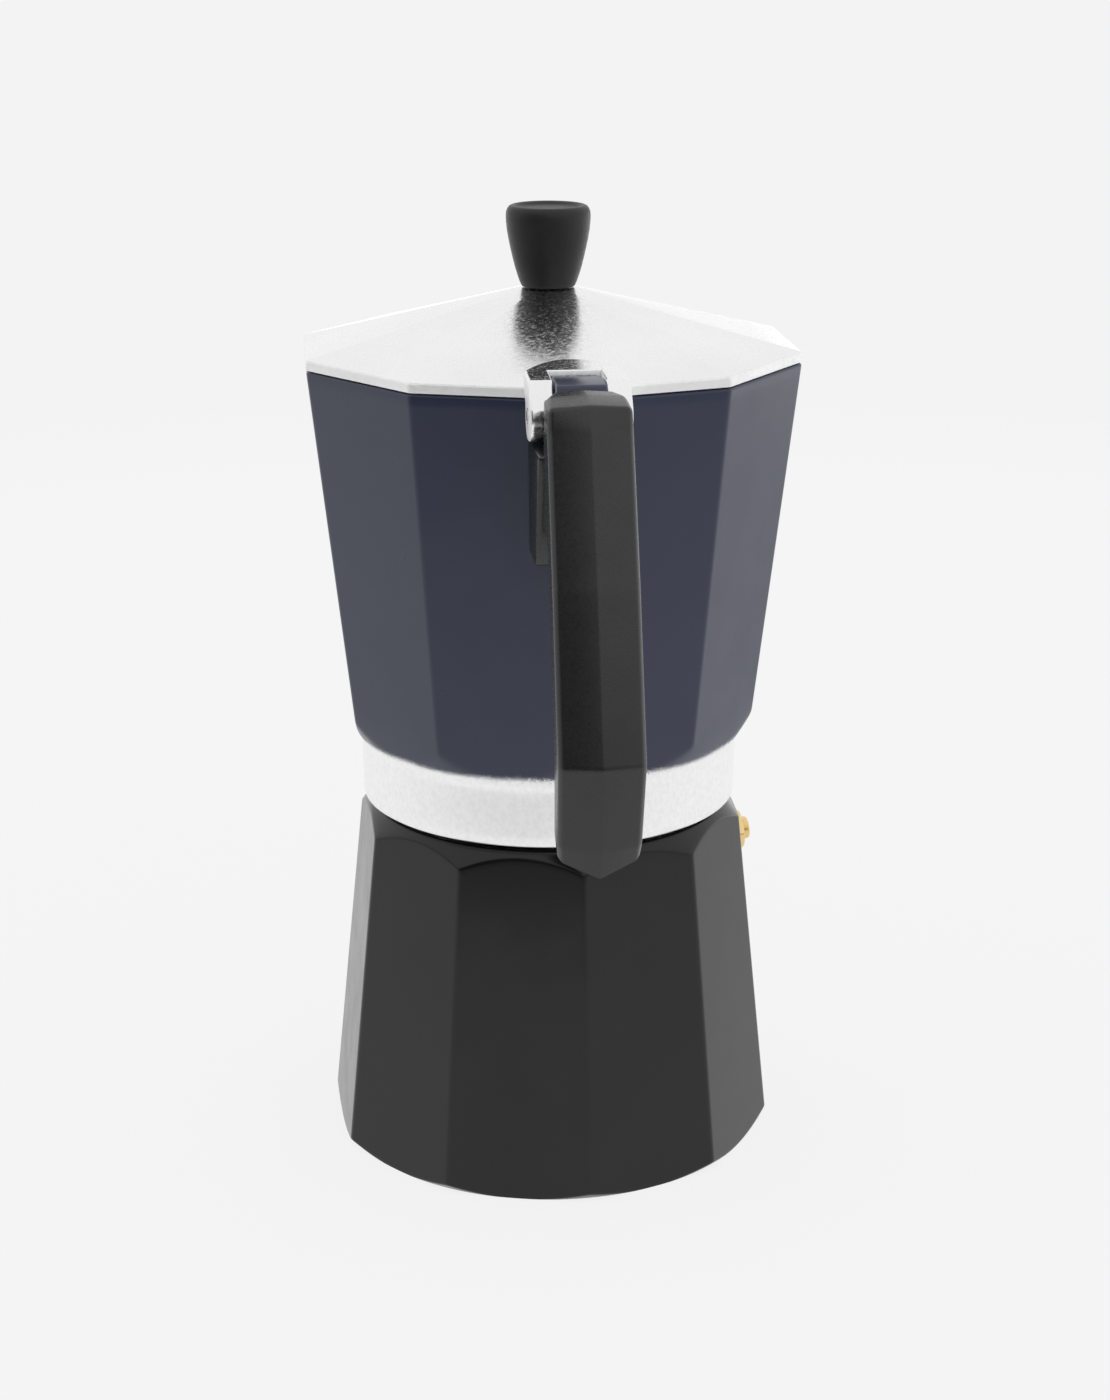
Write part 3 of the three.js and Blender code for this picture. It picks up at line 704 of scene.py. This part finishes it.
def lid():
    def rim(a):
        r = section(a, LID_R, 0, 1.6)
        off = abs((a + math.pi) % TAU - math.pi)
        if off < 0.3 and r * math.sin(off) < SLOT_HALF - 0.02:
            r = (SLOT_BACK - 0.15) / math.cos(off)
        return r

    def profile(a):
        edge = rim(a)
        full = section(a, LID_R, 0, 1.6)
        points = [(2.2, LID_CROWN - 1.5), (2.4, LID_CROWN), (6.6, LID_CROWN), (7.4, LID_CROWN - 0.12)]
        sheet = [7.2 + (edge - 8.0) * t for t in (0.04, 0.12, 0.3, 0.6, 0.85, 1.0)]
        points += [(r, lid_top(a, r)) for r in sheet]
        low_z = lid_top(a, edge - 0.8)
        points += [(edge - 0.3, low_z - 0.22), (edge - 0.05, low_z - 0.6), (edge, low_z - 1.0)]
        points += [(edge, LID_FOOT + 0.6), (edge - 0.1, LID_FOOT + 0.15), (edge - 0.5, LID_FOOT)]
        under = min(full - 4.4 * full / LID_R, edge - 1.5)
        points += [(under + 0.5, LID_FOOT), (under, LID_FOOT + 0.4)]
        slope = (LID_CROWN - 2.1 - LID_FOOT - 0.6) / (full - 4.4 - 9.2)
        points += [(9.2 + (under - 9.2) * t, LID_CROWN - 2.1 - slope * (under - 9.2) * t) for t in
                   (0.98, 0.75, 0.5, 0.25, 0.04)]
        points += [(8.4, LID_CROWN - 2.1), (2.4, LID_CROWN - 2.1), (2.2, LID_CROWN - 1.9)]
        return points

    slot_angle = math.degrees(math.asin(SLOT_HALF / 62.4))
    extra = [s * (slot_angle + d) for s in (-1, 1) for d in (-0.1, 0.02)]
    verts, faces, slots = column_mesh(polar(facet_angles(0, extra), profile), closed_profile=True,
                                      slot_of_row=lambda i: int(i in SHEARED_ROWS))
    cover = new_object("lid_cover", verts, faces, "lid", [satin, sheared], slots, sharp=25)
    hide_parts("lid")
    return cover


def pad_side(x):
    """The hinge pad's back and top at a side distance: (distance towards the handle, z), front to back."""
    def top(u):
        return 218.76 - 0.045 * (u - PAD_BACK)

    back = PAD_BACK + 0.09 * x * x
    foot = lid_top(math.atan2(x, back), math.hypot(x, back)) - 1.2
    return top, [(back + 0.6, top(back + 0.6)), (back + 0.45, top(back + 0.45)),
                 (back + 0.13, top(back) - 0.12), (back, top(back) - 0.45), (back, foot)]


def pad_middle():
    """The pad between the ears: a flat top with an arc-shaped back, ending at the tongue's slot."""
    rings = []
    for i in range(29):
        x = 0.47 * (i - 14)
        top, back = pad_side(x)
        low_z = lid_top(math.atan2(x, SLOT_BACK), math.hypot(x, SLOT_BACK)) - 1.2
        front = [(SLOT_BACK, low_z), (SLOT_BACK, top(SLOT_BACK) - 0.3),
                 (SLOT_BACK - 0.09, top(SLOT_BACK) - 0.09),
                 (SLOT_BACK - 0.3, top(SLOT_BACK - 0.3)), (SLOT_BACK - 0.42, top(SLOT_BACK - 0.42))]
        rings.append([(x, -u, z) for u, z in front + back])
    return loft_mesh(rings)


def ear_mesh(side):
    """One ear of the hinge: its hook round the pin, its crest and its back, from the slot outwards."""
    hook = [(HINGE_U + 6 * math.cos(math.radians(a)), HINGE_Z + 6 * math.sin(math.radians(a)))
            for a in range(-190, 34, 8)]
    crest = [(71.02, 217.31), (70.91, 217.42), (70.57, 217.66), (70.15, 217.76), (70.0, 217.77)]
    rings = []
    for share, drawn in ((0, 0.2), (0.015, 0.09), (0.035, 0.02), (0.06, 0), (0.3, 0), (0.5, 0), (0.7, 0),
                         (0.8, 0), (0.87, 0), (0.92, 0.05), (0.97, 0.25), (1, 0.55)):
        x = side * (SLOT_HALF + share * (PAD_HALF - SLOT_HALF))
        _, back = pad_side(x)
        outline = hook + crest + back + [(max(58, back[-1][0] + 0.7), 213.2), (64.3, 211.6)]
        ring = inset(outline, drawn) if drawn else outline
        rings.append([(x, -u, z) for u, z in ring])
    return loft_mesh(rings)


EAR_SHEARED_Z = 214.5  # the ears' flanks have the sheared finish below this height


def lid_hinge():
    """The pad and its two ears, one at each side of the tongue."""
    pad = solid_object("pad", pad_middle())
    combine(pad, [solid_object("left", ear_mesh(-1)), solid_object("right", ear_mesh(1))], "UNION")
    combine(pad, [solid_object("hole", cross_cylinder(HINGE_U, HINGE_Z, 1.9, 24))], "DIFFERENCE")
    finish_solid(pad, "lid_hinge", "lid", satin, 38)
    pad.data.materials.append(sheared)
    for face in pad.data.polygons:
        face.material_index = int(abs(face.normal.x) > 0.5 and face.center.z < EAR_SHEARED_Z * MM)


# ------------------------------------------------------------------ knob, pins and valve
def revolve(name, points, body, materials, replaced=None, count=96, closed=False, sharp=40,
            matrix=None):
    """A turned piece from (radius, z) points, in the place of a CAD node if one is named."""
    verts, faces, _ = column_mesh(polar(round_angles(count), lambda a: points), closed_profile=closed)
    if matrix is not None:
        verts = [tuple(matrix @ Vector(v)) for v in verts]
    obj = new_object(name, verts, faces, body, materials, sharp=sharp)
    if replaced:
        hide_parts(replaced)
    return obj


def knob():
    k = KNOB_FOOT
    outline = [(3.5, k), (6.4, k), (6.75, k + 0.1), (6.95, k + 0.4), (7.35, k + 1.3), (7.95, k + 3.0),
               (8.6, k + 5.2), (9.1, k + 7.2), (9.65, k + 9.6), (10.15, k + 12), (10.55, k + 14.4),
               (10.75, k + 16.4), (10.8, k + 17.8), (10.7, k + 18.8), (10.4, k + 19.6), (9.9, k + 20.2),
               (9.3, k + 20.45),
               (8.7, k + 20.4), (8.2, k + 20.15), (7.8, k + 19.8), (7.2, k + 19.65), (4, k + 19.5),
               (0, k + 19.45)]
    socket = [(0, k + 11), (3.3, k + 11), (3.5, k + 10.8)]
    return revolve("knob_grip", socket + outline, "lid", [knob_plastic], "knob")


def pins():
    for node, half, u, z, dome in (("hinge_pin", 12.25, HINGE_U, HINGE_Z, 0.35),
                                   ("handle_pin", 8.9, HANDLE_PIN_U, HANDLE_PIN_Z, 0.3)):
        points = [(0, -half), (1.0, -half), (1.45, -half + dome), (1.6, -half + 2 * dome),
                  (1.6, half - 2 * dome), (1.45, half - dome), (1.0, half), (0, half)]
        place = Matrix.Translation((0, -u, z)) @ Matrix.Rotation(math.pi / 2, 4, "Y")
        revolve(node + "_rod", points, "collector", [steel], node, 48, matrix=place)


VALVE_TURN = math.radians(94.2)
VALVE_Z = 78.0
VALVE_R = (FOOT_R + LEAN * VALVE_Z) * math.cos(HALF_FACET)
VALVE_TILT = math.atan(-LEAN * math.cos(HALF_FACET))
VALVE_PLACE = (Matrix.Translation((VALVE_R * math.sin(VALVE_TURN), -VALVE_R * math.cos(VALVE_TURN), VALVE_Z))
               @ Matrix.Rotation(VALVE_TURN - math.pi / 2, 4, "Z")
               @ Matrix.Rotation(math.pi / 2 - VALVE_TILT, 4, "Y"))


def valve():
    def hexagon(a, corner):
        local = a % (TAU / 6) - TAU / 12
        return min(corner * math.cos(TAU / 12) / math.cos(local), corner - 0.12)

    def profile(a):
        points = [(1.2, -8), (3.0, -8), (3.3, -7.7), (3.3, 1.0), (3.5, 1.3)]
        points += [(min(hexagon(a, 5.6), r), z) for r, z in ((5.0, 1.3), (5.35, 1.45), (5.6, 1.9), (5.6, 2.9),
                                                            (5.35, 3.3), (4.9, 3.6))]
        points += [(3.5, 3.6), (3.25, 3.65), (3.1, 3.85), (3.1, 4.9), (3.0, 5.25), (2.8, 5.5), (2.5, 5.6),
                   (2.3, 5.5), (2.2, 5.3), (2.2, -6.4), (1.3, -6.5), (1.2, -6.6)]
        return points

    columns = polar(round_angles(72), profile)
    verts, faces, _ = column_mesh(columns, closed_profile=True)
    verts = [tuple(VALVE_PLACE @ Vector(v)) for v in verts]
    body = new_object("valve_nut", verts, faces, "boiler", [brass], sharp=35)
    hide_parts("valve_body")
    pin = [(0, -6.2), (1.7, -6.2), (1.9, -6.0), (1.9, -5.4), (1.7, -5.2), (0.9, -5.2), (0.8, -5.0),
           (0.8, 5.6), (0.7, 5.85), (0.4, 5.98), (0, 6.0)]
    revolve("valve_plunger_rod", pin, "valve_plunger", [brass], "valve_pin", 32, matrix=VALVE_PLACE)
    cap = [(1.1, 4.15), (1.95, 4.15), (2.0, 4.2), (2.0, 5.15), (1.9, 5.3), (1.25, 5.3), (1.1, 5.2)]
    revolve("valve_cap", cap, "boiler", [brass], "valve_retainer", 40, closed=True,
            matrix=VALVE_PLACE)
    washer = [(3.6, 0.3), (5.3, 0.3), (5.4, 0.4), (5.4, 0.9), (5.3, 1.0), (3.6, 1.0)]
    revolve("valve_seal_ring", washer, "boiler", [fibre], "valve_washer", 60, closed=True,
            matrix=VALVE_PLACE)


# ------------------------------------------------------------------ what is hidden at rest
def funnel():
    top = high("funnel_basket").z
    basket = [(41.8, top - 1.0), (42.0, top - 0.8), (42.0, top - 0.2), (41.8, top), (38.4, top),
              (37.9, top - 0.4), (37.8, top - 1.2), (37.8, 72.4), (37.4, 72.0), (35.9, 72), (35.4, 71.7),
              (6.6, 61.2), (5.5, 60.4), (5.3, 59.6), (5.3, 52.2), (5.5, 52), (5.9, 52), (6.1, 52.2),
              (6.1, 59.6), (6.5, 60.2), (7.6, 60.8), (37.6, 71.0), (38.4, 71.5), (38.6, 72.2), (38.6, top - 2),
              (38.8, top - 1.3), (39.3, top - 1.0)]
    revolve("basket", basket, "funnel", [pressed], "funnel_basket", 120, closed=True)
    tube = [(4.3, 10), (4.9, 10), (5.0, 10.15), (5.0, 60.8), (4.9, 61), (4.3, 61), (4.2, 60.8), (4.2, 10.2)]
    revolve("riser_tube", tube, "funnel", [pressed], "funnel_tube", 64, closed=True)


def perforated(name, node, body, radius, holes, hole_r):
    """A thin disc with rings of round holes, in place of a CAD disc with fewer."""
    low_z, high_z = low(node).z, high(node).z
    edge = [(0, low_z), (radius - 0.2, low_z), (radius, low_z + 0.2), (radius, high_z - 0.2),
            (radius - 0.2, high_z), (0, high_z)]
    verts, faces, _ = column_mesh(polar(round_angles(96), lambda a: edge))
    disc = solid_object(name, (verts, faces))
    all_verts, all_faces = [], []
    for ring, count in holes:
        for i in range(count):
            a = TAU * (i + 0.5 * (ring % 2)) / count
            r = ring * radius / (len(holes) + 0.7)
            rings = [[(r * math.cos(a) + hole_r * math.cos(TAU * k / 10), r * math.sin(a) + hole_r *
                       math.sin(TAU * k / 10), z) for k in range(10)] for z in (low_z - 1, high_z + 1)]
            v, f = loft_mesh(rings)
            start = len(all_verts)
            all_verts += v
            all_faces += [tuple(start + q for q in face) for face in f]
    combine(disc, [solid_object("holes", (all_verts, all_faces))], "DIFFERENCE")
    finish_solid(disc, name, body, pressed, 40)
    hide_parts(node)


def seals():
    low_z, high_z = low("gasket").z, high("gasket").z
    section_points = [(35.8, low_z), (41.8, low_z), (42.1, low_z + 0.3), (42.1, high_z - 0.3), (41.8, high_z),
                      (35.8, high_z), (35.5, high_z - 0.3), (35.5, low_z + 0.3)]
    revolve("gasket_ring", section_points, "gasket", [seal], "gasket", 120, closed=True)
    perforated("filter_disc", "filter_plate", "filter_plate", 38.5, [(n, 8 * n) for n in range(1, 8)], 0.55)
    perforated("basket_screen", "funnel_screen", "funnel", 37.5, [(n, 7 * n) for n in range(1, 9)], 0.5)


def column():
    """The tube up the middle, with an outlet slot at each side near its closed top."""
    foot, top = low("column").z, high("column").z
    outline = [(6.8, foot), (11, foot), (11, foot + 0.6), (8.9, foot + 0.8), (8.4, foot + 1.3), (8.4, 119),
               (6, top - 8.6), (5.5, top - 3), (5.1, top - 1.6), (4.2, top - 0.6), (2.6, top - 0.1), (0, top),
               (0, top - 1.6), (2.4, top - 1.8), (3.5, top - 2.6), (4.0, top - 4), (4.4, top - 8.6),
               (6.8, 119)]
    verts, faces, _ = column_mesh(polar(round_angles(72), lambda a: outline), closed_profile=True)
    body = solid_object("column", (verts, faces))
    data = bpy.data.meshes.new("merged")
    edit = bmesh.new()
    edit.from_mesh(body.data)
    bmesh.ops.remove_doubles(edit, verts=edit.verts, dist=1e-6)
    bmesh.ops.dissolve_degenerate(edit, edges=edit.edges, dist=1e-7)
    bmesh.ops.recalc_face_normals(edit, faces=edit.faces)
    edit.to_mesh(data)
    edit.free()
    body.data = data
    slot = rounded([(-2.2, top - 12), (2.2, top - 12), (2.2, top - 4.6), (-2.2, top - 4.6)], 1.4, 4)
    combine(body, [solid_object("outlet", slab_mesh(slot, 15, 0.01))], "DIFFERENCE")
    finish_solid(body, "column_tube", "collector", inside, 40)
    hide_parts("column")


def carried_over():
    """CAD nodes whose shape is already right keep it and take a finished material."""
    for node, material in (("valve_spring", steel), ("knob_insert", brass), ("knob_washer", steel),
                           ("knob_screw", steel)):
        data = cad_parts[node].data
        data.materials.clear()
        data.materials.append(material)


# ------------------------------------------------------------------ studio
PALE = 0.896
FLOOR_R = 1.15
FLOOR_MIDDLE = (0.05, 0.2, 0)
FLOOR_FADE = (0.62, 0.86)
DARK_SIDE = (-0.34, -0.94, 0)
FLAG_SIDE = (-0.602, -0.771, 0.208)


def studio():
    scene = bpy.context.scene
    scene.view_settings.view_transform = "Standard"
    world = bpy.data.worlds.new("studio")
    world.use_nodes = True
    scene.world = world
    nodes, links = world.node_tree.nodes, world.node_tree.links
    output = nodes["World Output"]
    direction = nodes.new("ShaderNodeTexCoord").outputs["Generated"]
    towards = nodes.new("ShaderNodeVectorMath")
    towards.operation = "DOT_PRODUCT"
    links.new(direction, towards.inputs[0])
    towards.inputs[1].default_value = DARK_SIDE
    ramp = nodes.new("ShaderNodeValToRGB")
    shift = nodes.new("ShaderNodeMapRange")
    links.new(towards.outputs["Value"], shift.inputs["Value"])
    shift.inputs["From Min"].default_value = 1
    shift.inputs["From Max"].default_value = -1
    links.new(shift.outputs[0], ramp.inputs["Fac"])
    stops = [(0.0, 0.06), (0.05, 0.12), (0.29, 0.45), (0.39, 0.7), (0.85, 1.3), (1.0, 1.9)]
    while len(ramp.color_ramp.elements) < len(stops):
        ramp.color_ramp.elements.new(0.5)
    for element, (position, value) in zip(ramp.color_ramp.elements, stops):
        element.position = position
        element.color = (value, value, value, 1)
    split = nodes.new("ShaderNodeSeparateXYZ")
    links.new(direction, split.inputs[0])
    depth = nodes.new("ShaderNodeMapRange")
    links.new(shift.outputs[0], depth.inputs["Value"])
    depth.inputs["From Min"].default_value = 0.25
    depth.inputs["From Max"].default_value = 0.55
    depth.inputs["To Min"].default_value = 0.38
    depth.inputs["To Max"].default_value = 0.05
    upward = nodes.new("ShaderNodeMapRange")
    links.new(split.outputs["Z"], upward.inputs["Value"])
    links.new(depth.outputs[0], upward.inputs["From Max"])
    upward.inputs["From Min"].default_value = -0.07
    aside = nodes.new("ShaderNodeVectorMath")
    aside.operation = "DOT_PRODUCT"
    links.new(direction, aside.inputs[0])
    aside.inputs[1].default_value = FLAG_SIDE
    flag = nodes.new("ShaderNodeMapRange")
    flag.interpolation_type = "SMOOTHSTEP"
    links.new(aside.outputs["Value"], flag.inputs["Value"])
    flag.inputs["From Min"].default_value = 0.83
    flag.inputs["From Max"].default_value = 0.95
    sky = nodes.new("ShaderNodeMix")
    sky.data_type = "RGBA"
    links.new(flag.outputs[0], sky.inputs["Factor"])
    sky.inputs["A"].default_value = (0.95, 0.95, 0.96, 1)
    sky.inputs["B"].default_value = (0.12, 0.12, 0.12, 1)
    overhead = nodes.new("ShaderNodeMix")
    overhead.data_type = "RGBA"
    links.new(upward.outputs[0], overhead.inputs["Factor"])
    links.new(ramp.outputs["Color"], overhead.inputs["A"])
    links.new(sky.outputs["Result"], overhead.inputs["B"])
    light = nodes["Background"]
    links.new(overhead.outputs["Result"], light.inputs["Color"])
    light.inputs["Strength"].default_value = 1.0
    seen = nodes.new("ShaderNodeBackground")
    seen.inputs["Color"].default_value = (PALE, PALE, PALE, 1)
    path = nodes.new("ShaderNodeLightPath")
    mix = nodes.new("ShaderNodeMixShader")
    links.new(path.outputs["Is Camera Ray"], mix.inputs["Fac"])
    links.new(light.outputs[0], mix.inputs[1])
    links.new(seen.outputs[0], mix.inputs[2])
    links.new(mix.outputs[0], output.inputs["Surface"])

    rim = [(FLOOR_R * math.cos(a), FLOOR_R * math.sin(a), 0) for a in round_angles(96)]
    data = bpy.data.meshes.new("floor")
    data.from_pydata(rim, [], [tuple(range(len(rim)))])
    floor = bpy.data.objects.new("floor", data)
    scene.collection.objects.link(floor)
    f = Finish("pale_floor")
    f.put("Base Color", (0.08, 0.08, 0.08, 1)).put("Roughness", 1.0).put("Specular IOR Level", 0.0)
    f.put("Emission Color", (1, 1, 1, 1)).put("Emission Strength", 0.84)
    distance = f.node("ShaderNodeVectorMath", {0: f.place, 1: FLOOR_MIDDLE}, output="Value",
                      operation="DISTANCE")
    f.put("Alpha", f.levels(distance, 1.0, 0.0, *FLOOR_FADE))
    data.materials.append(f.material)


def camera():
    data = bpy.data.cameras.new("camera")
    data.sensor_width = 36
    data.lens = 66.09
    data.clip_end = 200
    obj = bpy.data.objects.new("camera", data)
    bpy.context.scene.collection.objects.link(obj)
    aside, distance, height = math.radians(5.8), 0.6584, 0.3243
    obj.location = (-distance * math.sin(aside), -distance * math.cos(aside), height)
    heading, pitch = aside + math.radians(0.15), math.radians(17.37)
    level = math.cos(pitch)
    view = Vector((math.sin(heading) * level, math.cos(heading) * level, -math.sin(pitch)))
    obj.rotation_euler = view.to_track_quat("-Z", "Y").to_euler()
    bpy.context.scene.camera = obj


camera()
studio()
boiler()
collector()
handle()
lid()
lid_hinge()
knob()
pins()
valve()
funnel()
seals()
column()
carried_over()
